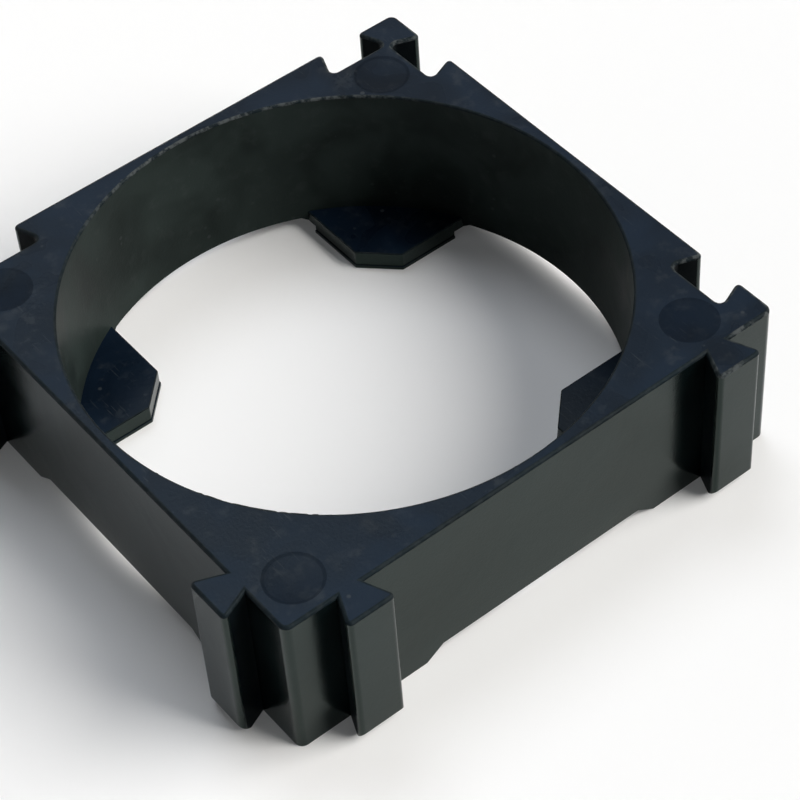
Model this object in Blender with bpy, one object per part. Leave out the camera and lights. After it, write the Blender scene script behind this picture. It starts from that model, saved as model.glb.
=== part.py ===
"""Bracket that holds one large round battery cell, moulded in one piece.

A square frame stands round a through bore for the cell. Four flat lips at the
foot of the bore keep the cell from sliding out. Two sides carry flared tabs
and the two opposite sides carry the matching slots, so that brackets slide
together into a pack. Between the lips the walls are cut back at the foot, to
let connecting strips pass.
"""

import math

import bmesh
import bpy
from mathutils import Matrix, Vector

# Frame
BORE_DIAMETER = 0.0330
THINNEST_WALL = 0.0007
BODY_HEIGHT = 0.0106
CORNER_RADIUS = 0.0005
TOP_EDGE_RADIUS = 0.00025
BORE_EDGE_RADIUS = 0.00015

# Flared tabs on the two front sides
TAB_CENTRE = 0.00427
TAB_REACH = 0.0019
TAB_ROOT_WIDTH = 0.0017
TAB_TIP_WIDTH = 0.0033
TAB_TIP_RADIUS = 0.0003
TAB_ROOT_RADIUS = 0.0002
TAB_LEAD = 0.0007

# Matching slots on the two back sides, each taken from the tab and a clearance
SLOT_FLANK_CLEARANCE = 0.0005
SLOT_FLOOR_CLEARANCE = 0.0001
SLOT_MOUTH_RADIUS = 0.0003
SLOT_FLOOR_RADIUS = 0.0004

# Lips that stop the cell at the foot of the bore
LIP_REACH = 0.0096
LIP_CHAMFER = 0.0021
LIP_THICKNESS = 0.0013
LIP_SLOT_MARGIN = 0.0003

# Cut-backs at the foot of the walls for the connecting strips
STRIP_DEPTH = 0.0008
STRIP_RAMP = 0.0012
STRIP_LIP_CLEARANCE = 0.0004
STRIP_WALL_MARGIN = 0.0003

# Round marks that the ejector pins leave in the top face
PIN_MARK_RADIUS = 0.0018
PIN_MARK_DEPTH = 0.0001
PIN_TAB_SIDE_INSET = 0.00245
PIN_SLOT_SIDE_INSET = 0.0041

# Cutters run past the faces that they cut by this much
OVERRUN = 0.0005
# Points of one outline that lie closer than this are one point
WELD_DISTANCE = 0.000003
# A corner that a rounded edge uses up keeps this much of a radius
LEAST_RADIUS = 0.00003

BORE_STEPS = 96
PIN_STEPS = 32
FILLET_STEPS = 4
EDGE_STEPS = 3

# The wall is thinnest at the middle of each side. The tabs reach past two sides
# only, and the origin is the middle of the foot of the whole box, so the bore's
# axis stands beside it.
BORE_RADIUS = BORE_DIAMETER / 2
HALF_SIDE = BORE_RADIUS + THINNEST_WALL
SIDE_LENGTH = 2 * HALF_SIDE
AXIS_OFFSET = TAB_REACH / 2
LOW_SIDE = AXIS_OFFSET - HALF_SIDE
HIGH_SIDE = AXIS_OFFSET + HALF_SIDE
SLOT_DEPTH = TAB_REACH + SLOT_FLOOR_CLEARANCE


def clear_scene():
    """Remove every object of the open scene."""
    for item in list(bpy.data.objects):
        bpy.data.objects.remove(item, do_unlink=True)


def new_collection(name):
    """Make a collection under the scene's own."""
    group = bpy.data.collections.new(name)
    bpy.context.scene.collection.children.link(group)
    return group


def fillet(before, corner, after, radius):
    """Points of the arc that rounds one corner of an outline."""
    to_before = (before - corner).normalized()
    to_after = (after - corner).normalized()
    half_angle = to_before.angle(to_after) / 2
    run = radius / math.tan(half_angle)
    centre = corner + (to_before + to_after).normalized() * (radius / math.sin(half_angle))
    start = corner + to_before * run - centre
    end = corner + to_after * run - centre
    turn = start.angle_signed(end)
    points = []
    for step in range(FILLET_STEPS + 1):
        # Vector.rotate turns the other way from angle_signed
        arm = start.copy()
        arm.rotate(Matrix.Rotation(-turn * step / FILLET_STEPS, 2))
        points.append(centre + arm)
    return points


def moved_inward(before, corner, after, inset):
    """The corner where both of its sides lie inward by the inset."""
    first = (corner - before).normalized().orthogonal()
    second = (after - corner).normalized().orthogonal()
    return corner + (first + second) * (inset / (1 + first.dot(second)))


def rounded(outline, inset):
    """Points of an outline of (corner, radius) pairs, run anticlockwise.

    Every side is moved inward by the inset, which a corner that points outward
    loses from its radius and a corner that points inward gains.
    """
    points = []
    count = len(outline)
    corners = [corner for corner, radius in outline]
    moved = []
    for index, corner in enumerate(corners):
        after = corners[(index + 1) % count]
        moved.append(moved_inward(corners[index - 1], corner, after, inset))
    for index, (corner, radius) in enumerate(outline):
        before = corners[index - 1]
        after = corners[(index + 1) % count]
        outward = (corner - before).cross(after - corner) > 0
        left = max(radius - inset, LEAST_RADIUS) if outward else radius + inset
        points.extend(fillet(moved[index - 1], moved[index], moved[(index + 1) % count], left))
    return points


def tab_corners(at, reach):
    """Corners of one tab: along the side, outward from it, and the radius."""
    root = TAB_ROOT_WIDTH / 2
    tip = root + (TAB_TIP_WIDTH / 2 - root) * reach / TAB_REACH
    return [
        (at - root, 0, TAB_ROOT_RADIUS),
        (at - tip, reach, TAB_TIP_RADIUS),
        (at + tip, reach, TAB_TIP_RADIUS),
        (at + root, 0, TAB_ROOT_RADIUS),
    ]


def slot_corners(at):
    """Corners of one slot: along the side, inward from it, and the radius."""
    half_mouth = TAB_ROOT_WIDTH / 2 + SLOT_FLANK_CLEARANCE
    half_floor = TAB_TIP_WIDTH / 2 + SLOT_FLANK_CLEARANCE
    return [
        (at - half_mouth, 0, SLOT_MOUTH_RADIUS),
        (at - half_floor, SLOT_DEPTH, SLOT_FLOOR_RADIUS),
        (at + half_floor, SLOT_DEPTH, SLOT_FLOOR_RADIUS),
        (at + half_mouth, 0, SLOT_MOUTH_RADIUS),
    ]


def body_outline(reach, inset):
    """The body from above, with tabs of one reach, moved inward by an inset."""
    places = (TAB_CENTRE, SIDE_LENGTH - TAB_CENTRE)
    tabs = [corner for at in places for corner in tab_corners(at, reach)]
    slots = [corner for at in places for corner in slot_corners(at)]
    outline = [(Vector((LOW_SIDE, LOW_SIDE)), CORNER_RADIUS)]
    for along, outward, radius in tabs:
        outline.append((Vector((LOW_SIDE + along, LOW_SIDE - outward)), radius))
    outline.append((Vector((HIGH_SIDE, LOW_SIDE)), CORNER_RADIUS))
    for along, inward, radius in slots:
        outline.append((Vector((HIGH_SIDE - inward, LOW_SIDE + along)), radius))
    outline.append((Vector((HIGH_SIDE, HIGH_SIDE)), CORNER_RADIUS))
    for along, inward, radius in reversed(slots):
        outline.append((Vector((LOW_SIDE + along, HIGH_SIDE - inward)), radius))
    outline.append((Vector((LOW_SIDE, HIGH_SIDE)), CORNER_RADIUS))
    for along, outward, radius in reversed(tabs):
        outline.append((Vector((LOW_SIDE - outward, LOW_SIDE + along)), radius))
    return rounded(outline, inset)


def bore_outline(radius):
    """Points of a circle round the bore's axis."""
    centre = Vector((AXIS_OFFSET, AXIS_OFFSET))
    points = []
    for step in range(BORE_STEPS):
        angle = math.tau * step / BORE_STEPS
        points.append(centre + Vector((math.cos(angle), math.sin(angle))) * radius)
    return points


def edge_rounding(radius):
    """How far in and how far below the top each step of a rounded edge lies."""
    steps = []
    for step in range(EDGE_STEPS + 1):
        angle = math.tau / 4 * step / EDGE_STEPS
        steps.append((radius * (1 - math.cos(angle)), radius * (1 - math.sin(angle))))
    return steps


def add_wall(solid, rings):
    """Join rings of points, given with their heights, into one wall."""
    rows = []
    for points, height in rings:
        rows.append([solid.verts.new((point.x, point.y, height)) for point in points])
    for lower, upper in zip(rows, rows[1:]):
        for index in range(len(lower)):
            solid.faces.new((lower[index - 1], lower[index], upper[index], upper[index - 1]))
    return rows[0], rows[-1]


def close_between(solid, outer, inner):
    """Fill the flat face between two rings of vertices."""
    edges = []
    for ring in (outer, inner):
        for index in range(len(ring)):
            edges.append(solid.edges.get((ring[index - 1], ring[index])))
    bmesh.ops.triangle_fill(solid, use_beauty=True, edges=edges)


def make_body(group):
    """The frame with its bore, tabs, slots and rounded top edges."""
    outer = [
        (body_outline(TAB_REACH - TAB_LEAD, 0), 0),
        (body_outline(TAB_REACH, 0), TAB_LEAD),
    ]
    for inset, below in edge_rounding(TOP_EDGE_RADIUS):
        outer.append((body_outline(TAB_REACH, inset), BODY_HEIGHT - below))
    inner = [(bore_outline(BORE_RADIUS), 0)]
    for inset, below in edge_rounding(BORE_EDGE_RADIUS):
        inner.append((bore_outline(BORE_RADIUS + inset), BODY_HEIGHT - below))
    solid = bmesh.new()
    outer_low, outer_high = add_wall(solid, outer)
    inner_low, inner_high = add_wall(solid, inner)
    close_between(solid, outer_low, inner_low)
    close_between(solid, outer_high, inner_high)
    bmesh.ops.recalc_face_normals(solid, faces=solid.faces)
    mesh = bpy.data.meshes.new("cell_holder_bracket")
    solid.to_mesh(mesh)
    solid.free()
    body = bpy.data.objects.new("cell_holder_bracket", mesh)
    group.objects.link(body)
    return body


def prism(name, points, low, high, group):
    """Closed mesh object between two heights, from one flat closed outline."""
    curve = bpy.data.curves.new(name, "CURVE")
    curve.dimensions = "2D"
    curve.fill_mode = "BOTH"
    curve.extrude = (high - low) / 2
    spline = curve.splines.new("POLY")
    spline.points.add(len(points) - 1)
    for target, point in zip(spline.points, points):
        target.co = (point.x, point.y, 0, 1)
    spline.use_cyclic_u = True
    drawn = bpy.data.objects.new(name + "_outline", curve)
    group.objects.link(drawn)
    drawn.location.z = (low + high) / 2
    bpy.context.view_layer.update()
    evaluated = drawn.evaluated_get(bpy.context.evaluated_depsgraph_get())
    mesh = bpy.data.meshes.new_from_object(evaluated)
    mesh.name = name
    solid = bmesh.new()
    solid.from_mesh(mesh)
    bmesh.ops.remove_doubles(solid, verts=solid.verts, dist=WELD_DISTANCE)
    bmesh.ops.recalc_face_normals(solid, faces=solid.faces)
    solid.to_mesh(mesh)
    solid.free()
    made = bpy.data.objects.new(name, mesh)
    made.matrix_world = drawn.matrix_world
    group.objects.link(made)
    bpy.data.objects.remove(drawn, do_unlink=True)
    return made


def add_boolean(target, tool, operation):
    """Join or cut an object with another one, which is then only a guide."""
    modifier = target.modifiers.new(tool.name, "BOOLEAN")
    modifier.operation = operation
    modifier.solver = "EXACT"
    modifier.object = tool
    tool.hide_render = True
    tool.display_type = "WIRE"


def lip_outline(way_x, way_y):
    """One lip from above: a corner block with its inner corner cut off."""
    inset = SLOT_DEPTH + LIP_SLOT_MARGIN
    corners = [
        (inset, inset),
        (LIP_REACH, inset),
        (LIP_REACH, LIP_REACH - LIP_CHAMFER),
        (LIP_REACH - LIP_CHAMFER, LIP_REACH),
        (inset, LIP_REACH),
    ]
    points = []
    for along, across in corners:
        x = AXIS_OFFSET + way_x * (HALF_SIDE - along)
        y = AXIS_OFFSET + way_y * (HALF_SIDE - across)
        points.append(Vector((x, y)))
    return points


def make_lips(target, group):
    """Join the four lips to the frame."""
    for way_x in (-1, 1):
        for way_y in (-1, 1):
            name = "lip_%d_%d" % (way_x + 1, way_y + 1)
            lip = prism(name, lip_outline(way_x, way_y), 0, LIP_THICKNESS, group)
            add_boolean(target, lip, "UNION")


def make_strip_cuts(target, group):
    """Cut the four walls back at the foot, with a ramp at each end."""
    full = HALF_SIDE - LIP_REACH - STRIP_LIP_CLEARANCE
    ends = full + STRIP_RAMP
    wide = ends + OVERRUN * STRIP_RAMP / STRIP_DEPTH
    wall = HALF_SIDE - math.sqrt(BORE_RADIUS ** 2 - ends ** 2)
    run = wall + STRIP_WALL_MARGIN + OVERRUN
    section = [
        Vector((-wide, -OVERRUN)),
        Vector((wide, -OVERRUN)),
        Vector((full, STRIP_DEPTH)),
        Vector((-full, STRIP_DEPTH)),
    ]
    middle = HALF_SIDE + OVERRUN - run / 2
    for number in range(4):
        cutter = prism("strip_cut_%d" % number, section, -run / 2, run / 2, group)
        place = Matrix.Translation((AXIS_OFFSET, AXIS_OFFSET, 0))
        place @= Matrix.Rotation(math.tau * number / 4, 4, "Z")
        place @= Matrix.Translation((0, middle, 0))
        place @= Matrix.Rotation(math.tau / 4, 4, "X")
        cutter.matrix_world = place
        add_boolean(target, cutter, "DIFFERENCE")


def make_pin_marks(target, group):
    """Sink a shallow round mark into the top face near each corner."""
    low = LOW_SIDE + PIN_TAB_SIDE_INSET
    high = HIGH_SIDE - PIN_SLOT_SIDE_INSET
    depth = PIN_MARK_DEPTH + OVERRUN
    for number, (x, y) in enumerate(((low, low), (high, low), (high, high), (low, high))):
        bpy.ops.mesh.primitive_cylinder_add(
            vertices=PIN_STEPS,
            radius=PIN_MARK_RADIUS,
            depth=depth,
            location=(x, y, BODY_HEIGHT - PIN_MARK_DEPTH + depth / 2),
        )
        cutter = bpy.context.object
        cutter.name = "pin_mark_%d" % number
        for owner in cutter.users_collection:
            owner.objects.unlink(cutter)
        group.objects.link(cutter)
        add_boolean(target, cutter, "DIFFERENCE")


def black_plastic():
    """Satin black moulded plastic."""
    material = bpy.data.materials.new("black_plastic")
    material.use_nodes = True
    shader = material.node_tree.nodes["Principled BSDF"]
    shader.inputs["Base Color"].default_value = (0.016, 0.018, 0.020, 1)
    shader.inputs["Roughness"].default_value = 0.42
    shader.inputs["Metallic"].default_value = 0
    return material


def build():
    """Build the bracket."""
    clear_scene()
    parts = new_collection("battery_cell_holder_bracket")
    cutters = new_collection("cutters")
    bracket = make_body(parts)
    make_lips(bracket, cutters)
    make_strip_cuts(bracket, cutters)
    make_pin_marks(bracket, cutters)
    bracket.data.materials.append(black_plastic())
    bracket.data.shade_smooth()
    bracket.data.set_sharp_from_angle(angle=math.radians(30))


build()
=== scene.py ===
"""Looks of a battery cell holder bracket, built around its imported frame.

The bracket is one moulding of black plastic. Its mesh is made here again with
finer edges, mould flash and pin marks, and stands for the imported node.
"""

import logging
import math
from dataclasses import dataclass, field
from enum import Enum, IntEnum
from typing import NamedTuple, Sequence

import bmesh
import bpy
from mathutils import Matrix, Vector, noise

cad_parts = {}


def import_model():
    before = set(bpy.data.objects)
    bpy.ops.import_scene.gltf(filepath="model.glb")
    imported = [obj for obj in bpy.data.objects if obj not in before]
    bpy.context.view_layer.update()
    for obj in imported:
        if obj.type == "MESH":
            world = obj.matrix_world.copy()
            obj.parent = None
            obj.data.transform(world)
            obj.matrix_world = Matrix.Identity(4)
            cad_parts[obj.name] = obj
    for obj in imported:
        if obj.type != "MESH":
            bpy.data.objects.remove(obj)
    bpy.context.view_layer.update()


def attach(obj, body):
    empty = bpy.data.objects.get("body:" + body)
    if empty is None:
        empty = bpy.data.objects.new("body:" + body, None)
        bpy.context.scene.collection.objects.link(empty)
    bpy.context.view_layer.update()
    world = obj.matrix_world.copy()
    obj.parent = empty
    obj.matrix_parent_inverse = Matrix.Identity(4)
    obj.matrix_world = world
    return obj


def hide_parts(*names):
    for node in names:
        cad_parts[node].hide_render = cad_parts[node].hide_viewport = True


LOG = logging.getLogger("bracket_looks")
MILLIMETRE = 0.001
UPRIGHT_LIMIT = 0.1
SHARP_ANGLE = math.radians(35)
SWAP_X_AND_Y = Matrix(((0, 1, 0, 0), (1, 0, 0, 0), (0, 0, 1, 0), (0, 0, 0, 1)))
NODE = "cell_holder_bracket"
PIECE = "moulded_bracket"


class Zone(IntEnum):
    """Surface zones of the moulding, in the order of the piece's materials."""

    # All zones are one plastic: their finishes differ in colour to paint light on the top, walls
    # and bore, and shade in slots, grooves and pin-mark rims.
    FACE = 0
    WALL = 1
    BORE = 2
    EDGE = 3
    PIN = 4
    DARK_PIN_AND_RIM_SHADE = 5
    SHADED_HOLLOW = 6


class Join(Enum):
    """How a tool solid changes the body."""

    ADD = "UNION"
    CUT = "DIFFERENCE"


class Corner(NamedTuple):
    """One corner of an outline and the radius that rounds it."""

    x: float
    y: float
    radius: float


# Solids


class Solid:
    """A mesh that is shaped with mesh operators, in millimetres for the moulding."""

    weld = 0.0005
    level_tolerance = 0.0001

    def __init__(self, name: str) -> None:
        """Start an empty solid with the name of the object that it becomes."""
        self.name = name
        self.mesh = bmesh.new()

    def _ring(
        self, points: Sequence[Vector]
    ) -> tuple[list[bmesh.types.BMVert], list[bmesh.types.BMEdge]]:
        """Lay a closed line of vertices and edges.

        Args:
            points: Places of the vertices, in order.

        Returns:
            The vertices and the edges.
        """
        verts = [self.mesh.verts.new(point) for point in points]
        edges = [self.mesh.edges.new(pair) for pair in zip(verts, verts[1:] + verts[:1])]
        return verts, edges

    def plate(self, corners: Sequence[Corner], low: float, high: float, steps: int) -> None:
        """Raise an outline with rounded corners into a plate.

        Args:
            corners: Corners of the outline, anticlockwise.
            low: Height of the plate's underside.
            high: Height of its top.
            steps: Segments of each rounded corner.
        """
        points = [Vector((corner.x, corner.y, low)) for corner in corners]
        verts, edges = self._ring(points)
        bmesh.ops.contextual_create(self.mesh, geom=edges)
        for index, corner in enumerate(corners):
            if corner.radius > 0:
                to_last = (points[index - 1] - points[index]).normalized()
                to_next = (points[(index + 1) % len(points)] - points[index]).normalized()
                run = corner.radius / math.tan(to_last.angle(to_next) / 2)
                bmesh.ops.bevel(
                    self.mesh, geom=[verts[index]], offset=run, offset_type="OFFSET",
                    segments=steps, profile=0.5, affect="VERTICES", clamp_overlap=False,
                    material=-1,
                )
        raised = bmesh.ops.extrude_face_region(self.mesh, geom=self.mesh.faces[:])
        top = [item for item in raised["geom"] if isinstance(item, bmesh.types.BMVert)]
        bmesh.ops.translate(self.mesh, verts=top, vec=(0, 0, high - low))
        self.tidy()

    def lathe(self, profile: Sequence[tuple[float, float]], steps: int, closed: bool) -> None:
        """Turn a profile of radius and height round the upright axis.

        Args:
            profile: Points of the profile.
            steps: Segments of the full turn.
            closed: Whether the profile is a loop of its own, and not a line
                from the axis to the axis.
        """
        points = [Vector((radius, 0, height)) for radius, height in profile]
        verts, edges = self._ring(points)
        if not closed:
            bmesh.ops.delete(self.mesh, geom=[edges.pop()], context="EDGES")
        bmesh.ops.spin(
            self.mesh, geom=verts + edges, cent=(0, 0, 0), axis=(0, 0, 1), dvec=(0, 0, 0),
            angle=math.tau, steps=steps, use_merge=True, use_duplicate=False,
        )
        self.tidy()

    def tidy(self) -> None:
        """Merge doubled vertices and turn the faces outward."""
        bmesh.ops.remove_doubles(self.mesh, verts=self.mesh.verts, dist=self.weld)
        bmesh.ops.recalc_face_normals(self.mesh, faces=self.mesh.faces)
        self.mesh.normal_update()

    def round_rim(self, height: float, radius: float, steps: int) -> None:
        """Round every edge that lies in one level plane.

        Args:
            height: Height of the plane.
            radius: Radius of the rounding.
            steps: Segments of the rounding.
        """
        level = 1 - self.level_tolerance
        rim = [
            edge for edge in self.mesh.edges
            if all(abs(vert.co.z - height) < self.weld for vert in edge.verts)
            and not all(abs(face.normal.z) > level for face in edge.link_faces)
        ]
        made = bmesh.ops.bevel(
            self.mesh, geom=rim, offset=radius, offset_type="OFFSET", segments=steps,
            profile=0.5, affect="EDGES", clamp_overlap=False, material=-1,
        )
        for face in made["faces"]:
            face.material_index = Zone.EDGE

    def paint(self, zone: Zone) -> None:
        """Put every face in one zone."""
        for face in self.mesh.faces:
            face.material_index = zone

    def move(self, matrix: Matrix) -> None:
        """Turn, shift or scale the whole solid by a matrix."""
        bmesh.ops.transform(self.mesh, matrix=matrix, verts=self.mesh.verts)
        self.mesh.normal_update()

    def to_object(self, materials: Sequence[bpy.types.Material]) -> bpy.types.Object:
        """Make the solid an object at the origin.

        Args:
            materials: Materials of its slots.

        Returns:
            The object, linked to the scene.
        """
        data = bpy.data.meshes.new(self.name)
        self.mesh.to_mesh(data)
        self.mesh.free()
        for material in materials:
            data.materials.append(material)
        made = bpy.data.objects.new(self.name, data)
        bpy.context.scene.collection.objects.link(made)
        return made


# Sub-assemblies of the moulding


@dataclass
class DovetailTab:
    """Flared tab on the outside of a wall."""

    centre: float = 4.27
    reach: float = 1.9
    root_width: float = 1.7
    tip_width: float = 3.3
    tip_radius: float = 0.3
    root_radius: float = 0.0
    lead: float = 0.7

    def corners(self, at: float) -> list[tuple[float, float, float]]:
        """Corners of one tab.

        Args:
            at: Distance of its middle along the wall.

        Returns:
            Distance along the wall, outward from it, and radius, of each.
        """
        root, tip = self.root_width / 2, self.tip_width / 2
        return [
            (at - root, 0, self.root_radius),
            (at - tip, self.reach, self.tip_radius),
            (at + tip, self.reach, self.tip_radius),
            (at + root, 0, self.root_radius),
        ]


@dataclass
class DovetailSlot:
    """Slot in the outside of a wall, which takes a neighbour's tab."""

    tab: DovetailTab
    flank_clearance: float = 0.5
    floor_clearance: float = 0.1
    mouth_radius: float = 0.3
    floor_radius: float = 0.4

    @property
    def depth(self) -> float:
        """Depth of the slot below the wall."""
        return self.tab.reach + self.floor_clearance

    def corners(self, at: float) -> list[tuple[float, float, float]]:
        """Corners of one slot.

        Args:
            at: Distance of its middle along the wall.

        Returns:
            Distance along the wall, inward from it, and radius, of each.
        """
        mouth = self.tab.root_width / 2 + self.flank_clearance
        floor = self.tab.tip_width / 2 + self.flank_clearance
        return [
            (at - mouth, 0, self.mouth_radius),
            (at - floor, self.depth, self.floor_radius),
            (at + floor, self.depth, self.floor_radius),
            (at + mouth, 0, self.mouth_radius),
        ]


@dataclass
class HolderFrame:
    """Square frame round the bore, with its tabs and slots."""

    bore_radius: float = 16.5
    thinnest_wall: float = 0.7
    height: float = 10.6
    corner_radius: float = 0.5
    top_edge_radius: float = 0.2
    bore_edge_radius: float = 0.15
    overrun: float = 0.5
    corner_steps: int = 6
    edge_steps: int = 4
    bore_steps: int = 240
    rounding_width: float = 0.4
    flank_slant: float = 0.2
    level_slant: float = 0.995
    tab: DovetailTab = field(default_factory=DovetailTab)

    def __post_init__(self) -> None:
        """Take the slot from the tab."""
        self.slot = DovetailSlot(self.tab)

    @property
    def half_side(self) -> float:
        """Half the side of the square."""
        return self.bore_radius + self.thinnest_wall

    @property
    def offset(self) -> float:
        """Where the bore's axis stands, along X and along Y."""
        return self.tab.reach / 2

    @property
    def low(self) -> float:
        """Place of the two tab walls."""
        return self.offset - self.half_side

    @property
    def high(self) -> float:
        """Place of the two slot walls."""
        return self.offset + self.half_side

    @property
    def places(self) -> tuple[float, float]:
        """Distances of the tabs and slots along a wall."""
        return self.tab.centre, 2 * self.half_side - self.tab.centre

    @property
    def axis(self) -> Matrix:
        """Shift from the origin to the bore's axis."""
        return Matrix.Translation((self.offset, self.offset, 0))

    def side_zone(self, face: bmesh.types.BMFace) -> Zone:
        """Tell an open side face from the inside of a slot or groove.

        Args:
            face: An upright face of the body.

        Returns:
            The zone of the face.
        """
        centre = face.calc_center_median()
        from_axis = max(abs(centre.x - self.offset), abs(centre.y - self.offset))
        in_slot = from_axis < self.half_side - self.corner_radius
        slanted = min(abs(face.normal.x), abs(face.normal.y)) > self.flank_slant
        flank = slanted and face.calc_area() > self.height * self.rounding_width
        # Slot and groove faces take a darker, duller finish: painted shade in these hollows.
        return Zone.SHADED_HOLLOW if in_slot or flank else Zone.WALL

    def outline(self) -> list[Corner]:
        """Lay out the frame from above.

        Returns:
            Its corners, anticlockwise.
        """
        low, high = self.low, self.high
        tabs = [corner for at in self.places for corner in self.tab.corners(at)]
        slots = [corner for at in self.places for corner in self.slot.corners(at)]
        outline = [Corner(low, low, self.corner_radius)]
        outline += [Corner(low + along, low - out, radius) for along, out, radius in tabs]
        outline.append(Corner(high, low, self.corner_radius))
        outline += [Corner(high - into, low + along, radius) for along, into, radius in slots]
        outline.append(Corner(high, high, self.corner_radius))
        outline += [
            Corner(low + along, high - into, radius) for along, into, radius in reversed(slots)
        ]
        outline.append(Corner(low, high, self.corner_radius))
        outline += [
            Corner(low - out, low + along, radius) for along, out, radius in reversed(tabs)
        ]
        return outline

    def body(self) -> Solid:
        """Raise the frame, a little longer than its foot and without its bore.

        Returns:
            The solid.
        """
        solid = Solid("frame_body")
        solid.plate(self.outline(), -self.overrun, self.height, self.corner_steps)
        solid.round_rim(self.height, self.top_edge_radius, self.edge_steps)
        return solid

    def bore(self) -> Solid:
        """Turn the tool that cuts the bore and rounds its upper rim.

        Returns:
            The solid.
        """
        solid = Solid("bore_tool")
        top, edge, below = self.height, self.bore_edge_radius, -2 * self.overrun
        profile = [(0, below), (self.bore_radius, below)]
        for step in range(self.edge_steps):
            angle = math.tau / 4 * step / self.edge_steps
            profile.append((
                self.bore_radius + edge * (1 - math.cos(angle)),
                top - edge * (1 - math.sin(angle)),
            ))
        last_radius, last_height = profile[-1]
        wide = 2 * (self.bore_radius + edge) - last_radius
        profile += [
            (wide, 2 * top - last_height), (wide, top + self.overrun), (0, top + self.overrun),
        ]
        solid.lathe(profile, self.bore_steps, closed=False)
        solid.move(self.axis)
        for face in solid.mesh.faces:
            radius = math.hypot(face.normal.x, face.normal.y)
            slanted = UPRIGHT_LIMIT < radius < self.level_slant
            face.material_index = Zone.EDGE if slanted else Zone.BORE
        return solid

    def lead_tools(self) -> list[Solid]:
        """Make the wedges that slope the foot of each tab.

        Returns:
            The tools.
        """
        tools = []
        deep = 4 * self.tab.lead
        for along in self.places:
            for turned in (False, True):
                solid = Solid("tab_lead")
                bmesh.ops.create_cube(solid.mesh, size=1)
                solid.move(Matrix.Diagonal((self.tab.tip_width + self.overrun, deep, deep, 1)))
                solid.move(Matrix.Translation((0, -deep / 2, 0)))
                solid.move(Matrix.Rotation(math.tau / 8, 4, "X"))
                shift = Vector((self.low + along, self.low - self.tab.reach, self.tab.lead))
                solid.move(Matrix.Translation(shift))
                if turned:
                    solid.move(SWAP_X_AND_Y)
                    solid.tidy()
                solid.paint(Zone.WALL)
                tools.append(solid)
        return tools

    def foot_tool(self) -> Solid:
        """Make the block that cuts everything level at the foot.

        Returns:
            The tool.
        """
        solid = Solid("foot_level")
        bmesh.ops.create_cube(solid.mesh, size=4 * self.half_side)
        solid.move(Matrix.Translation((0, 0, -2 * self.half_side)))
        return solid


@dataclass
class StopLips:
    """Flat lips that stop the cell at the foot of the bore."""

    reach: float = 9.6
    chamfer: float = 2.1
    thickness: float = 1.3
    slot_margin: float = 0.3
    edge_radius: float = 0.08
    edge_steps: int = 2
    corner_radius: float = 0.15
    corner_steps: int = 3
    flash_width: float = 0.06
    flash_thickness: float = 0.2

    def _outline(self, frame: HolderFrame, way: tuple[int, int], grow: float) -> list[Corner]:
        """Corners of one lip from above.

        Args:
            frame: The frame that carries it.
            way: Signs of the corner that it stands in.
            grow: How far its free sides stand out from the plain lip.

        Returns:
            The corners, anticlockwise.
        """
        inset = frame.slot.depth + self.slot_margin + grow / 2
        reach = self.reach + grow
        cut = self.chamfer + grow * (2 - math.sqrt(2))
        places = [
            (inset, inset, 0),
            (reach, inset, 0),
            (reach, reach - cut, self.corner_radius),
            (reach - cut, reach, self.corner_radius),
            (inset, reach, 0),
        ]
        corners = [
            Corner(
                frame.offset + way[0] * (frame.half_side - along),
                frame.offset + way[1] * (frame.half_side - across),
                radius,
            )
            for along, across, radius in places
        ]
        return corners if way[0] * way[1] > 0 else corners[::-1]

    def solids(self, frame: HolderFrame) -> list[Solid]:
        """The four lips, each with the thin flash at its foot.

        Args:
            frame: The frame that carries them.

        Returns:
            The solids to add to the frame.
        """
        made = []
        for way in ((-1, -1), (1, -1), (1, 1), (-1, 1)):
            lip = Solid("stop_lip")
            plain = self._outline(frame, way, 0)
            lip.plate(plain, -frame.overrun, self.thickness, self.corner_steps)
            lip.round_rim(self.thickness, self.edge_radius, self.edge_steps)
            flash = Solid("lip_flash")
            grown = self._outline(frame, way, self.flash_width)
            flash.plate(grown, -2 * frame.overrun, self.flash_thickness, self.corner_steps)
            for solid in (lip, flash):
                for face in solid.mesh.faces:
                    if abs(face.normal.z) < UPRIGHT_LIMIT:
                        face.material_index = Zone.WALL
                made.append(solid)
        return made


@dataclass
class StripReliefs:
    """Cut-backs at the foot of the walls, where connecting strips pass."""

    depth: float = 0.8
    ramp: float = 1.2
    lip_clearance: float = 0.4
    wall_margin: float = 0.3

    def tools(self, frame: HolderFrame, lips: StopLips) -> list[Solid]:
        """One tool for each wall.

        Args:
            frame: The frame that they cut.
            lips: The lips that they stay clear of.

        Returns:
            The tools.
        """
        over = frame.overrun
        full = frame.half_side - lips.reach - self.lip_clearance
        ends = full + self.ramp
        below = 2 * over
        wide = ends + below * self.ramp / self.depth
        wall = frame.half_side - math.sqrt(frame.bore_radius ** 2 - ends ** 2)
        run = wall + self.wall_margin + over
        section = [
            Corner(-wide, -below, 0), Corner(wide, -below, 0),
            Corner(full, self.depth, 0), Corner(-full, self.depth, 0),
        ]
        made = []
        for number in range(4):
            tool = Solid("strip_relief")
            tool.plate(section, -run / 2, run / 2, 1)
            place = frame.axis @ Matrix.Rotation(math.tau * number / 4, 4, "Z")
            place @= Matrix.Translation((0, frame.half_side + over - run / 2, 0))
            tool.move(place @ Matrix.Rotation(math.tau / 4, 4, "X"))
            tool.paint(Zone.WALL)
            made.append(tool)
        return made


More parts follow.
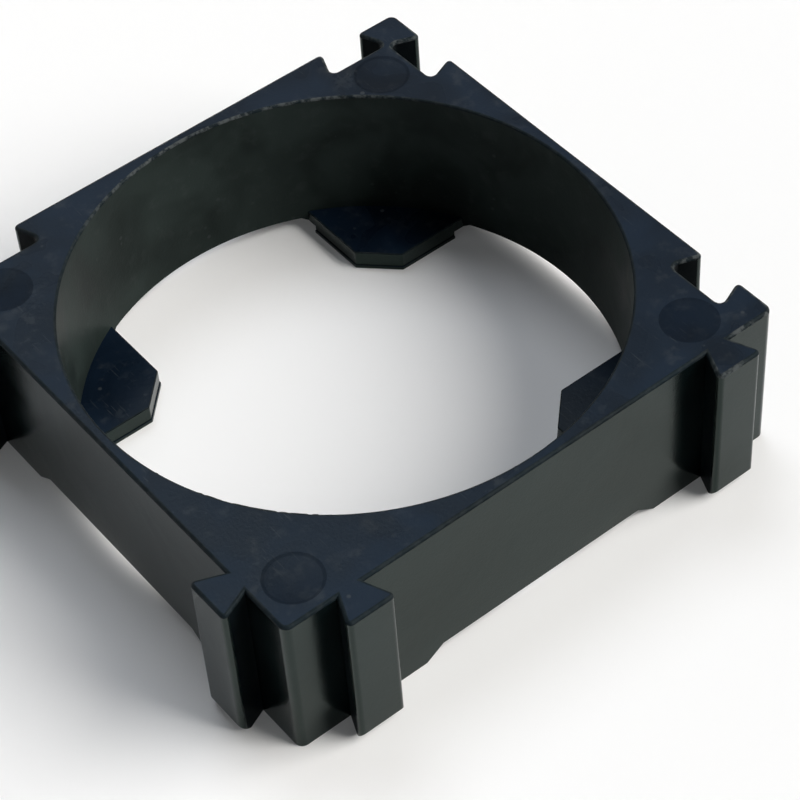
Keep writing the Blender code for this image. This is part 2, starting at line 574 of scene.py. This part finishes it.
@dataclass
class PinMarks:
    """Shallow round marks that the ejector pins leave in the top face."""

    radius: float = 1.54
    depth: float = 0.06
    wall_slope: float = 0.2
    level_slant: float = 0.99
    tab_side_inset: float = 2.45
    slot_side_inset: float = 4.1
    dark_marks: tuple[int, ...] = (1, 3)
    steps: int = 64

    def places(self, frame: HolderFrame) -> list[tuple[float, float]]:
        """Centres of the marks.

        Args:
            frame: The frame that carries them.

        Returns:
            Their X and Y.
        """
        low = frame.low + self.tab_side_inset
        high = frame.high - self.slot_side_inset
        return [(low, low), (high, low), (high, high), (low, high)]

    def tools(self, frame: HolderFrame) -> list[Solid]:
        """One tool for each mark.

        Args:
            frame: The frame that they cut.

        Returns:
            The tools.
        """
        made = []
        top, over = frame.height, frame.overrun
        for number, (x, y) in enumerate(self.places(frame)):
            tool = Solid("pin_mark")
            zone = Zone.DARK_PIN_AND_RIM_SHADE if number in self.dark_marks else Zone.PIN
            rim = self.radius + 2 * self.wall_slope
            profile = [
                (0, top - self.depth), (self.radius, top - self.depth), (rim, top + self.depth),
                (rim, top + over), (0, top + over),
            ]
            tool.lathe(profile, self.steps, closed=False)
            tool.move(Matrix.Translation((x, y, 0)))
            # The sloped rim of every mark takes the dark mark finish: painted shade round the rim.
            for face in tool.mesh.faces:
                level = abs(face.normal.z) > self.level_slant
                face.material_index = zone if level else Zone.DARK_PIN_AND_RIM_SHADE
            made.append(tool)
        return made


@dataclass
class RimBurr:
    """Thin ragged ridge that the mould leaves along the bore's upper rim."""

    root_low: float = 0.22
    root_out: float = 0.21
    proud: float = 0.02
    sunk: float = 0.12
    steps: int = 540
    patch_scale: float = 2.25
    patch_weight: float = 1.1
    ragged_scale: float = 54.0
    ragged_weight: float = 0.8
    mean_share: float = 0.35
    seed: float = 4.7

    def height_share(self, angle: float) -> float:
        """How far the ridge stands out of the rim at one place.

        Args:
            angle: Place round the bore.

        Returns:
            A share from 0, sunk in the rim, to 1, fully proud.
        """
        turn = Vector((math.cos(angle), math.sin(angle), self.seed))
        patch = self.patch_weight * noise.noise(turn * self.patch_scale)
        ragged = self.ragged_weight * noise.noise(turn * self.ragged_scale)
        return min(max(self.mean_share + patch + ragged, 0), 1)

    def solid(self, frame: HolderFrame) -> Solid:
        """The ridge, to lay into the frame's rim.

        Args:
            frame: The frame that carries it.

        Returns:
            The solid.
        """
        made = Solid("rim_burr")
        radius, top = frame.bore_radius, frame.height
        crest = (radius + self.sunk, top - self.sunk)
        profile = [
            crest, (radius + self.root_low / 4, top - self.root_low),
            (radius + self.root_out, top - self.root_out / 3),
        ]
        made.lathe(profile, self.steps, closed=True)
        for vert in made.mesh.verts:
            distance = math.hypot(vert.co.x, vert.co.y)
            if abs(distance - crest[0]) + abs(vert.co.z - crest[1]) > 2 * Solid.weld:
                continue
            share = self.height_share(math.atan2(vert.co.y, vert.co.x))
            shift = (self.sunk - self.proud) * share
            vert.co.x *= (distance - shift) / distance
            vert.co.y *= (distance - shift) / distance
            vert.co.z += shift
        made.paint(Zone.EDGE)
        made.move(frame.axis)
        return made


# Finishes


class Nodes:
    """Small helper that adds and links the nodes of one tree."""

    colour_mix_inputs = (0, 6, 7)
    colour_mix_output = 2

    def __init__(self, tree: bpy.types.NodeTree) -> None:
        """Work on one tree."""
        self.tree = tree

    def add(self, kind: str, inputs: dict | None = None, **settings: object) -> bpy.types.Node:
        """Add one node.

        Args:
            kind: Type name of the node.
            inputs: Values, or sockets to link from, by input name or number.
            **settings: Attributes to set on the node.

        Returns:
            The node.
        """
        node = self.tree.nodes.new(kind)
        for name, value in settings.items():
            setattr(node, name, value)
        for name, value in (inputs or {}).items():
            if isinstance(value, bpy.types.NodeSocket):
                self.tree.links.new(value, node.inputs[name])
            else:
                node.inputs[name].default_value = value
        return node

    def math(self, operation: str, *values: object, clamp: bool = False) -> bpy.types.NodeSocket:
        """Add a Math node.

        Args:
            operation: Name of the operation.
            *values: Numbers or sockets.
            clamp: Whether the result is kept from 0 to 1.

        Returns:
            Its output.
        """
        inputs = dict(enumerate(values))
        node = self.add("ShaderNodeMath", inputs, operation=operation, use_clamp=clamp)
        return node.outputs[0]

    def noise(self, vector: bpy.types.NodeSocket, scale: object, detail: float,
              rough: float, distortion: float = 0.0) -> bpy.types.NodeSocket:
        """Add a Noise Texture.

        Args:
            vector: Where it reads.
            scale: Number or socket.
            detail: Octaves.
            rough: Share of each finer octave.
            distortion: How far it is bent.

        Returns:
            Its grey value.
        """
        inputs = {
            "Vector": vector, "Scale": scale, "Detail": detail, "Roughness": rough,
            "Distortion": distortion,
        }
        return self.add("ShaderNodeTexNoise", inputs).outputs["Fac"]

    def step(self, value: bpy.types.NodeSocket, low: float, high: float) -> bpy.types.NodeSocket:
        """Turn a value into a soft step from 0 to 1.

        Args:
            value: The value.
            low: Where the step starts.
            high: Where it ends.

        Returns:
            The stepped value.
        """
        inputs = {"Value": value, "From Min": low, "From Max": high}
        node = self.add("ShaderNodeMapRange", inputs, interpolation_type="SMOOTHSTEP")
        return node.outputs["Result"]

    def group(self, tree: bpy.types.NodeTree,
              inputs: dict[str, object]) -> bpy.types.bpy_prop_collection:
        """Place a shared group and give back the outputs of its node."""
        return self.add("ShaderNodeGroup", inputs, node_tree=tree).outputs

    def seen(self) -> bpy.types.NodeSocket:
        """Tell the rays that show the background: straight, mirrored and let through.

        Returns:
            1 for such a ray and 0 for any other.
        """
        path = self.add("ShaderNodeLightPath").outputs
        straight = self.math("ADD", path["Is Camera Ray"], path["Is Glossy Ray"])
        return self.math("ADD", straight, path["Is Transmission Ray"], clamp=True)

    def mix(self, factor: object, first: object, second: object) -> bpy.types.NodeSocket:
        """Mix two colours.

        Args:
            factor: Share of the second.
            first: Colour or socket.
            second: Colour or socket.

        Returns:
            The mixed colour.
        """
        node = self.add("ShaderNodeMix", data_type="RGBA")
        for index, value in zip(self.colour_mix_inputs, (factor, first, second)):
            if isinstance(value, bpy.types.NodeSocket):
                self.tree.links.new(value, node.inputs[index])
            else:
                node.inputs[index].default_value = value
        return node.outputs[self.colour_mix_output]


class EffectGroup:
    """A shader node group with named inputs and outputs."""

    def __init__(self, name: str, inputs: dict[str, tuple[str, object]],
                 outputs: dict[str, str]) -> None:
        """Make the group's tree and sockets.

        Args:
            name: Name of the group.
            inputs: Socket type and default by name.
            outputs: Socket type by name.
        """
        self.tree = bpy.data.node_groups.new(name, "ShaderNodeTree")
        for socket, (kind, default) in inputs.items():
            made = self.tree.interface.new_socket(socket, in_out="INPUT", socket_type=kind)
            if default is not None:
                made.default_value = default
        for socket, kind in outputs.items():
            self.tree.interface.new_socket(socket, in_out="OUTPUT", socket_type=kind)
        self.nodes = Nodes(self.tree)
        self.given = self.tree.nodes.new("NodeGroupInput").outputs
        self.result = self.tree.nodes.new("NodeGroupOutput").inputs

    def put(self, name: str, value: bpy.types.NodeSocket) -> None:
        """Link a value to a named output of the group."""
        self.tree.links.new(value, self.result[name])


VECTOR = ("NodeSocketVector", None)


class PlasticEffects:
    """Node groups that every zone of the moulding shares."""

    def __init__(self) -> None:
        """Build the groups once."""
        self.grain = self._grain()
        self.marks = self._marks()
        self.dust = self._dust()

    @staticmethod
    def _grain() -> bpy.types.NodeTree:
        """Fine grain of the mould's wall, and the slow flow marks of the melt.

        Returns:
            The group's tree.
        """
        group = EffectGroup(
            "moulded_grain",
            {"Vector": VECTOR, "Grain Scale": ("NodeSocketFloat", 5.0),
             "Flow Scale": ("NodeSocketFloat", 0.2)},
            {"Grain": "NodeSocketFloat", "Flow": "NodeSocketFloat"},
        )
        nodes, given = group.nodes, group.given
        place = given["Vector"]
        group.put("Grain", nodes.noise(place, given["Grain Scale"], detail=3.0, rough=0.6))
        group.put("Flow", nodes.noise(
            place, given["Flow Scale"], detail=2.0, rough=0.5, distortion=0.6
        ))
        return group.tree

    @staticmethod
    def _marks() -> bpy.types.NodeTree:
        """Fine scratches in two directions, where the part was handled.

        Returns:
            The group's tree.
        """
        group = EffectGroup(
            "handling_marks",
            {"Vector": VECTOR, "Amount": ("NodeSocketFloat", 0.5)},
            {"Mask": "NodeSocketFloat"},
        )
        nodes, given = group.nodes, group.given
        place, soft_edge, lines = given["Vector"], 0.06, []
        for turn, limit in ((0.5, 0.66), (-0.9, 0.69)):
            inputs = {"Vector": place, "Rotation": (0.2, 0.1, turn), "Scale": (9.0, 0.5, 3.0)}
            turned = nodes.add("ShaderNodeMapping", inputs).outputs[0]
            streaks = nodes.noise(turned, scale=1.0, detail=2.0, rough=0.5)
            lines.append(nodes.step(streaks, low=limit, high=limit + soft_edge))
        handled = nodes.noise(place, scale=0.35, detail=1.0, rough=0.5)
        where = nodes.step(handled, low=0.48, high=0.62)
        shown = nodes.math("MULTIPLY", nodes.math("MAXIMUM", *lines), where)
        group.put("Mask", nodes.math("MULTIPLY", shown, given["Amount"], clamp=True))
        return group.tree

    @staticmethod
    def _dust() -> bpy.types.NodeTree:
        """Small pale specks and smudges.

        Returns:
            The group's tree.
        """
        group = EffectGroup(
            "dust_and_smudges",
            {"Vector": VECTOR, "Amount": ("NodeSocketFloat", 0.5)},
            {"Mask": "NodeSocketFloat"},
        )
        nodes, given = group.nodes, group.given
        place, smudge_strength = given["Vector"], 0.45
        cells = nodes.add(
            "ShaderNodeTexVoronoi", {"Vector": place, "Scale": 0.9, "Randomness": 1.0}
        )
        near = nodes.step(cells.outputs["Distance"], low=0.16, high=0.08)
        pick = nodes.add("ShaderNodeSeparateColor", {0: cells.outputs["Color"]}).outputs[0]
        specks = nodes.math("MULTIPLY", near, nodes.step(pick, low=0.62, high=0.95))
        cloudy = nodes.noise(place, scale=0.8, detail=3.0, rough=0.6)
        smudge = nodes.step(cloudy, low=0.52, high=0.76)
        both = nodes.math("MAXIMUM", specks, nodes.math("MULTIPLY", smudge, smudge_strength))
        group.put("Mask", nodes.math("MULTIPLY", both, given["Amount"], clamp=True))
        return group.tree


@dataclass(frozen=True)
class PaleDashPlace:
    """A place, in millimetres, round which the edges carry more pale dashes."""

    centre: tuple[float, float, float]
    reach: float
    full_share: float = 0.4


@dataclass(frozen=True)
class MouldedPlastic:
    """Satin black plastic of one zone of the moulding, with heights in millimetres."""

    name: str
    base: tuple[float, float, float]
    pale: tuple[float, float, float] = (0.11, 0.12, 0.12)
    roughness: float = 0.38
    roughness_spread: float = 0.10
    grain_scale: float = 5.0
    grain_height: float = 0.012
    flow_height: float = 0.03
    marks: float = 0.4
    dust: float = 0.4
    edge_dashes: float = 0.0
    place_dash_share: float = 0.54
    deep_share: float = 0.68
    light_share: float = 1.34
    pale_roughness: float = 0.25
    mark_depth: float = 0.004
    ior: float = 1.46
    gloss: float = 0.5
    tint: tuple[float, float, float] = (1.0, 1.0, 1.0)
    pale_dash_places: tuple[PaleDashPlace, ...] = ()

    def build(self, effects: PlasticEffects) -> bpy.types.Material:
        """Make the material.

        Args:
            effects: The shared node groups.

        Returns:
            The material.
        """
        material = bpy.data.materials.new(self.name)
        material.use_nodes = True
        material.diffuse_color = (*self.base, 1.0)
        nodes = Nodes(material.node_tree)
        shader = material.node_tree.nodes["Principled BSDF"]
        place = nodes.add("ShaderNodeTexCoord").outputs["Object"]
        scaled = nodes.add(
            "ShaderNodeMapping", {"Vector": place, "Scale": (1 / MILLIMETRE,) * 3}
        ).outputs[0]
        grain = nodes.group(effects.grain, {"Vector": scaled, "Grain Scale": self.grain_scale})
        marks = nodes.group(effects.marks, {"Vector": scaled, "Amount": self.marks})["Mask"]
        dust = nodes.group(effects.dust, {"Vector": scaled, "Amount": self.dust})["Mask"]
        tone = nodes.step(grain["Flow"], low=0.3, high=0.7)
        deep = tuple(value * self.deep_share for value in self.base)
        light = tuple(value * self.light_share for value in self.base)
        colour = nodes.mix(tone, (*deep, 1.0), (*light, 1.0))
        pale_mask = nodes.math("MAXIMUM", marks, dust)
        if self.edge_dashes > 0:
            pale_mask = nodes.math("MAXIMUM", pale_mask, self._edge_dash_mask(nodes, scaled))
        colour = nodes.mix(pale_mask, colour, (*self.pale, 1.0))
        nodes.tree.links.new(colour, shader.inputs["Base Color"])
        spread = nodes.math("MULTIPLY_ADD", tone, self.roughness_spread, self.roughness)
        rough = nodes.math("MULTIPLY_ADD", pale_mask, self.pale_roughness, spread)
        nodes.tree.links.new(rough, shader.inputs["Roughness"])
        fine = nodes.math("MULTIPLY", grain["Grain"], self.grain_height)
        slow = nodes.math("MULTIPLY", grain["Flow"], self.flow_height)
        lines = nodes.math("MULTIPLY", marks, -self.mark_depth)
        height = nodes.math("ADD", nodes.math("ADD", fine, slow), lines)
        bump = nodes.add(
            "ShaderNodeBump", {"Height": height, "Distance": MILLIMETRE, "Strength": 1.0}
        )
        nodes.tree.links.new(bump.outputs["Normal"], shader.inputs["Normal"])
        shader.inputs["IOR"].default_value = self.ior
        shader.inputs["Specular IOR Level"].default_value = self.gloss
        shader.inputs["Specular Tint"].default_value = (*self.tint, 1.0)
        return material

    def _edge_dash_mask(self, nodes: Nodes, scaled: bpy.types.NodeSocket) -> bpy.types.NodeSocket:
        """Mask of pale dashes on the edges, stronger near the listed places.

        Args:
            nodes: Helper of the material's tree.
            scaled: Place on the piece, in millimetres.

        Returns:
            The mask.
        """
        ragged = nodes.noise(scaled, scale=1.9, detail=3.0, rough=0.65)
        dash_pattern = nodes.step(ragged, low=0.42, high=0.62)
        amount = None
        for place in self.pale_dash_places:
            away = nodes.add(
                "ShaderNodeVectorMath", {0: scaled, 1: place.centre}, operation="DISTANCE"
            ).outputs["Value"]
            near = nodes.step(away, low=place.reach, high=place.reach * place.full_share)
            amount = near if amount is None else nodes.math("MAXIMUM", amount, near)
        share = self.edge_dashes if amount is None else nodes.math(
            "MULTIPLY_ADD", amount, self.place_dash_share - self.edge_dashes, self.edge_dashes
        )
        return nodes.math("MULTIPLY", dash_pattern, share)


# Places round which the rounded edges carry more pale dashes.
PALE_DASH_PLACES = (
    PaleDashPlace((3.8, 17.3, 10.6), 14.5),
    PaleDashPlace((16.9, -15.6, 10.6), 3.0),
    PaleDashPlace((12.6, -18.7, 10.6), 2.2),
    PaleDashPlace((17.4, 15.6, 10.6), 2.4),
    PaleDashPlace((17.3, -10.1, 10.6), 1.8),
)

# All zones are one black plastic. The bluish base and tint of the flat faces paint a bluish sky
# reflection on the top, the greenish tint of the outer walls paints a greenish floor reflection on
# them, and the lighter olive base of the bore wall paints extra light inside the bore.
FINISHES = {
    Zone.FACE: MouldedPlastic("plastic_flat_faces_painted_sky_tint", (0.0034, 0.0078, 0.0158), roughness=0.24,
                              marks=0.14, dust=0.24, gloss=0.105, tint=(0.74, 0.90, 1.0)),
    Zone.WALL: MouldedPlastic("plastic_outer_walls_painted_floor_tint", (0.0014, 0.0032, 0.0036), roughness=0.16,
                              roughness_spread=0.06, grain_height=0.006, marks=0.06,
                              dust=0.06, gloss=0.35, tint=(0.67, 1.0, 0.86)),
    Zone.BORE: MouldedPlastic("plastic_bore_wall_painted_light", (0.0152, 0.0208, 0.0192), roughness=0.30,
                              roughness_spread=0.12, grain_height=0.008,
                              flow_height=0.02, marks=0.05, dust=0.12, gloss=0.03,
                              tint=(0.72, 1.0, 1.0)),
    Zone.EDGE: MouldedPlastic("plastic_rounded_edges", (0.0035, 0.0065, 0.0085), roughness=0.50,
                              marks=0.06, dust=0.12, edge_dashes=0.06, gloss=0.09,
                              tint=(0.80, 0.95, 1.0), pale_dash_places=PALE_DASH_PLACES),
    Zone.PIN: MouldedPlastic("plastic_pin_marks", (0.0027, 0.0063, 0.0130), roughness=0.24,
                             marks=0.12, dust=0.20, gloss=0.085, tint=(0.74, 0.90, 1.0)),
    # Dark finish of two marks, and painted shade on the rims of all marks.
    Zone.DARK_PIN_AND_RIM_SHADE: MouldedPlastic("plastic_dark_pin_mark_and_rim_shade", (0.0017, 0.0044, 0.0098),
                                  roughness=0.26, marks=0.06, dust=0.14, gloss=0.07,
                                  tint=(0.68, 0.88, 1.0)),
    # Darker and duller than the open walls: painted shade in slots and grooves.
    Zone.SHADED_HOLLOW: MouldedPlastic("plastic_slot_walls_painted_shade", (0.0010, 0.0020, 0.0026),
                                roughness=0.40, grain_height=0.006, marks=0.04,
                                dust=0.06, gloss=0.06, tint=(0.70, 0.92, 1.0)),
}


# The whole bracket


@dataclass
class CellHolderBracket:
    """The bracket as it comes out of the mould."""

    frame: HolderFrame = field(default_factory=HolderFrame)
    lips: StopLips = field(default_factory=StopLips)
    reliefs: StripReliefs = field(default_factory=StripReliefs)
    pins: PinMarks = field(default_factory=PinMarks)
    burr: RimBurr = field(default_factory=RimBurr)

    def build(self) -> bpy.types.Object:
        """Build the one mesh of the bracket.

        Returns:
            The finished piece, at the origin.
        """
        effects = PlasticEffects()
        materials = [FINISHES[zone].build(effects) for zone in Zone]
        body = self.frame.body()
        # Level faces take the flat-face finish and upright faces the wall or slot finish, whose
        # colours paint the light and shade on each.
        for face in body.mesh.faces:
            if face.material_index != Zone.EDGE:
                level = abs(face.normal.z) > UPRIGHT_LIMIT
                face.material_index = Zone.FACE if level else self.frame.side_zone(face)
        target = body.to_object(materials)
        steps = [(Join.CUT, self.frame.bore())]
        steps += [(Join.CUT, tool) for tool in self.frame.lead_tools()]
        steps += [(Join.ADD, solid) for solid in self.lips.solids(self.frame)]
        steps += [(Join.CUT, tool) for tool in self.reliefs.tools(self.frame, self.lips)]
        steps += [(Join.CUT, tool) for tool in self.pins.tools(self.frame)]
        steps.append((Join.CUT, self.frame.foot_tool()))
        self._join(target, steps, materials)
        self._lay_in(target, self.burr.solid(self.frame))
        return self._finish(target)

    @staticmethod
    def _join(target: bpy.types.Object, steps: list[tuple[Join, Solid]],
              materials: list[bpy.types.Material]) -> None:
        """Add and cut the tools, and keep the result as a plain mesh.

        Args:
            target: The body.
            steps: What is added and cut, in order.
            materials: Materials of the zones.
        """
        for way, solid in steps:
            tool = solid.to_object(materials)
            modifier = target.modifiers.new(solid.name, "BOOLEAN")
            modifier.operation = way.value
            modifier.solver = "EXACT"
            modifier.object = tool
            bpy.context.view_layer.update()
            depsgraph = bpy.context.evaluated_depsgraph_get()
            data = bpy.data.meshes.new_from_object(target.evaluated_get(depsgraph))
            target.modifiers.clear()
            bpy.data.objects.remove(tool, do_unlink=True)
            made = bmesh.new()
            made.from_mesh(data)
            bmesh.ops.remove_doubles(made, verts=made.verts, dist=Solid.weld)
            bmesh.ops.dissolve_degenerate(made, edges=made.edges, dist=Solid.weld)
            loose = [edge for edge in made.edges if not edge.link_faces]
            bmesh.ops.delete(made, geom=loose, context="EDGES")
            open_edges = sum(not edge.is_manifold for edge in made.edges)
            LOG.info("%s: %d faces, %d open edges, %.2f cubic mm", solid.name, len(made.faces),
                     open_edges, made.calc_volume())
            made.to_mesh(data)
            made.free()
            target.data = data

    @staticmethod
    def _lay_in(target: bpy.types.Object, ridge: Solid) -> None:
        """Lay the ridge into the rim, as a closed form of its own.

        Args:
            target: The joined body.
            ridge: The ridge.
        """
        extra = bpy.data.meshes.new(ridge.name)
        ridge.mesh.to_mesh(extra)
        ridge.mesh.free()
        made = bmesh.new()
        made.from_mesh(target.data)
        made.from_mesh(extra)
        made.to_mesh(target.data)
        made.free()
        bpy.data.meshes.remove(extra)

    @staticmethod
    def _finish(target: bpy.types.Object) -> bpy.types.Object:
        """Shade the flats evenly up to their rounded edges, and bring all to metres.

        Args:
            target: The joined body, in millimetres.

        Returns:
            The piece.
        """
        target.data.shade_smooth()
        target.data.set_sharp_from_angle(angle=SHARP_ANGLE)
        weighted = target.modifiers.new("even_faces", "WEIGHTED_NORMAL")
        weighted.mode = "FACE_AREA"
        weighted.keep_sharp = True
        bpy.context.view_layer.update()
        depsgraph = bpy.context.evaluated_depsgraph_get()
        data = bpy.data.meshes.new_from_object(target.evaluated_get(depsgraph))
        bpy.data.objects.remove(target, do_unlink=True)
        data.transform(Matrix.Scale(MILLIMETRE, 4))
        data.name = PIECE
        piece = bpy.data.objects.new(PIECE, data)
        bpy.context.scene.collection.objects.link(piece)
        return piece


# Studio


@dataclass
class StudioFloor:
    """Round pale floor, in metres, that turns up into a low wall all round."""

    radius: float = 0.60
    wall_height: float = 0.14
    bend: float = 0.08
    clearance: float = 0.00003
    colour: tuple[float, float, float] = (0.93, 0.93, 0.93)
    near_glow: float = 0.04
    far_glow: float = 0.90
    near_reach: float = 0.06
    far_reach: float = 0.20
    bend_steps: int = 12
    turn_steps: int = 96
    weld: float = 0.000001

    def build(self) -> bpy.types.Object:
        """Make the floor.

        Returns:
            The floor.
        """
        solid = Solid("studio_floor")
        profile = [(0.0, 0.0), (self.radius - self.bend, 0.0)]
        for step in range(1, self.bend_steps + 1):
            angle = math.tau / 4 * step / self.bend_steps
            profile.append((
                self.radius - self.bend * (1 - math.sin(angle)), self.bend * (1 - math.cos(angle)),
            ))
        profile.append((self.radius, self.wall_height))
        verts = [solid.mesh.verts.new((x, 0, z - self.clearance)) for x, z in profile]
        edges = [solid.mesh.edges.new(pair) for pair in zip(verts, verts[1:])]
        bmesh.ops.spin(
            solid.mesh, geom=verts + edges, cent=(0, 0, 0), axis=(0, 0, 1), dvec=(0, 0, 0),
            angle=math.tau, steps=self.turn_steps, use_merge=True, use_duplicate=False,
        )
        bmesh.ops.remove_doubles(solid.mesh, verts=solid.mesh.verts, dist=self.weld)
        bmesh.ops.recalc_face_normals(solid.mesh, faces=solid.mesh.faces)
        solid.mesh.normal_update()
        if sum(face.normal.z for face in solid.mesh.faces) < 0:
            bmesh.ops.reverse_faces(solid.mesh, faces=solid.mesh.faces)
        floor = solid.to_object([self._material()])
        floor.data.shade_smooth()
        return floor

    def _material(self) -> bpy.types.Material:
        """Pale matt sheet that is white further off, and seen through from below.

        Returns:
            The material.
        """
        material = bpy.data.materials.new("studio_paper")
        material.use_nodes = True
        tree = material.node_tree
        tree.nodes.clear()
        nodes = Nodes(tree)
        paper = nodes.add("ShaderNodeBsdfDiffuse", {"Color": (*self.colour, 1.0)})
        glow = nodes.add("ShaderNodeEmission", {"Color": (1, 1, 1, 1), "Strength": 1.0})
        place = nodes.add("ShaderNodeTexCoord").outputs["Object"]
        reach = nodes.add("ShaderNodeVectorMath", {0: place}, operation="LENGTH").outputs["Value"]
        far = nodes.step(reach, low=self.near_reach, high=self.far_reach)
        share = nodes.math("MULTIPLY_ADD", far, self.far_glow - self.near_glow, self.near_glow)
        factor = nodes.math("MULTIPLY", nodes.seen(), share)
        top = nodes.add("ShaderNodeMixShader", {0: factor})
        tree.links.new(paper.outputs[0], top.inputs[1])
        tree.links.new(glow.outputs[0], top.inputs[2])
        clear = nodes.add("ShaderNodeBsdfTransparent")
        below = nodes.add("ShaderNodeNewGeometry").outputs["Backfacing"]
        both = nodes.add("ShaderNodeMixShader", {0: below})
        tree.links.new(top.outputs[0], both.inputs[1])
        tree.links.new(clear.outputs[0], both.inputs[2])
        end = nodes.add("ShaderNodeOutputMaterial")
        tree.links.new(both.outputs[0], end.inputs["Surface"])
        return material


@dataclass(frozen=True)
class SoftLight:
    """A large soft light, far away, placed and spread in degrees."""

    name: str
    azimuth: float
    elevation: float
    strength: float
    spread: float
    colour: tuple[float, float, float]

    def build(self) -> bpy.types.Object:
        """Add the light.

        Returns:
            Its object.
        """
        lamp = bpy.data.lights.new(self.name, "SUN")
        lamp.energy = self.strength
        lamp.angle = math.radians(self.spread)
        lamp.color = self.colour
        light = bpy.data.objects.new(self.name, lamp)
        azimuth, elevation = math.radians(self.azimuth), math.radians(self.elevation)
        back = Vector((
            math.sin(azimuth) * math.cos(elevation),
            -math.cos(azimuth) * math.cos(elevation),
            math.sin(elevation),
        ))
        light.rotation_mode = "QUATERNION"
        light.rotation_quaternion = back.to_track_quat("Z", "Y")
        bpy.context.scene.collection.objects.link(light)
        return light


@dataclass
class StudioLight:
    """A key light, a weaker one from above and behind, and a pale seen surround."""

    key: SoftLight = SoftLight("key_light", 48.0, 38.0, 4.15, 45.0, (0.95, 0.93, 0.90))
    sky: SoftLight = SoftLight("sky_light", 161.5, 62.0, 0.90, 30.0, (0.81, 0.85, 0.91))
    surround: tuple[float, float, float] = (0.062, 0.065, 0.07)
    backdrop: tuple[float, float, float] = (1.0, 1.0, 1.0)

    def build(self) -> None:
        """Add the lights and the surround."""
        self.key.build()
        self.sky.build()
        world = bpy.data.worlds.new("studio_surround")
        world.use_nodes = True
        tree = world.node_tree
        tree.nodes.clear()
        nodes = Nodes(tree)
        dim = nodes.add("ShaderNodeBackground", {"Color": (*self.surround, 1.0)})
        pale = nodes.add("ShaderNodeBackground", {"Color": (*self.backdrop, 1.0)})
        both = nodes.add("ShaderNodeMixShader", {0: nodes.seen()})
        tree.links.new(dim.outputs[0], both.inputs[1])
        tree.links.new(pale.outputs[0], both.inputs[2])
        end = nodes.add("ShaderNodeOutputWorld")
        tree.links.new(both.outputs[0], end.inputs["Surface"])
        bpy.context.scene.world = world


@dataclass
class PhotoCamera:
    """Camera at the photograph's place, found by fitting the real sizes to it.

    Its angles are in degrees, and its distance and the point that it aims at in metres.
    """

    azimuth: float = -35.178
    elevation: float = 48.077
    roll: float = -4.575
    distance: float = 0.159305
    aim: tuple[float, float] = (0.00358, 0.000011)
    focal_pixels: float = 2642.93
    frame_pixels: float = 800.0
    sensor: float = 36.0
    clip: tuple[float, float] = (0.001, 10.0)

    def build(self) -> bpy.types.Object:
        """Add the camera and make it the scene's own.

        Returns:
            The camera.
        """
        data = bpy.data.cameras.new("photo_camera")
        data.sensor_width = self.sensor
        data.lens = self.focal_pixels / self.frame_pixels * self.sensor
        data.clip_start, data.clip_end = self.clip
        camera = bpy.data.objects.new("photo_camera", data)
        turn, tilt, roll = (
            math.radians(value) for value in (self.azimuth, self.elevation, self.roll)
        )
        back = Vector((
            math.sin(turn) * math.cos(tilt), -math.cos(turn) * math.cos(tilt), math.sin(tilt),
        ))
        right = Vector((math.cos(turn), math.sin(turn), 0))
        up = back.cross(right)
        right, up = (
            math.cos(roll) * right + math.sin(roll) * up,
            math.cos(roll) * up - math.sin(roll) * right,
        )
        place = Vector((*self.aim, 0)) + back * self.distance
        camera.matrix_world = Matrix((
            (right.x, up.x, back.x, place.x),
            (right.y, up.y, back.y, place.y),
            (right.z, up.z, back.z, place.z),
            (0, 0, 0, 1),
        ))
        bpy.context.scene.collection.objects.link(camera)
        bpy.context.scene.camera = camera
        return camera


def main() -> None:
    """Build the bracket and its studio."""
    logging.basicConfig(level=logging.INFO, format="%(message)s")
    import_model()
    piece = CellHolderBracket().build()
    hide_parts(NODE)
    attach(piece, "root")
    LOG.info("%s: %d faces", piece.name, len(piece.data.polygons))
    StudioFloor().build()
    StudioLight().build()
    PhotoCamera().build()
    bpy.context.scene.view_settings.view_transform = "Standard"


if __name__ == "__main__":
    main()
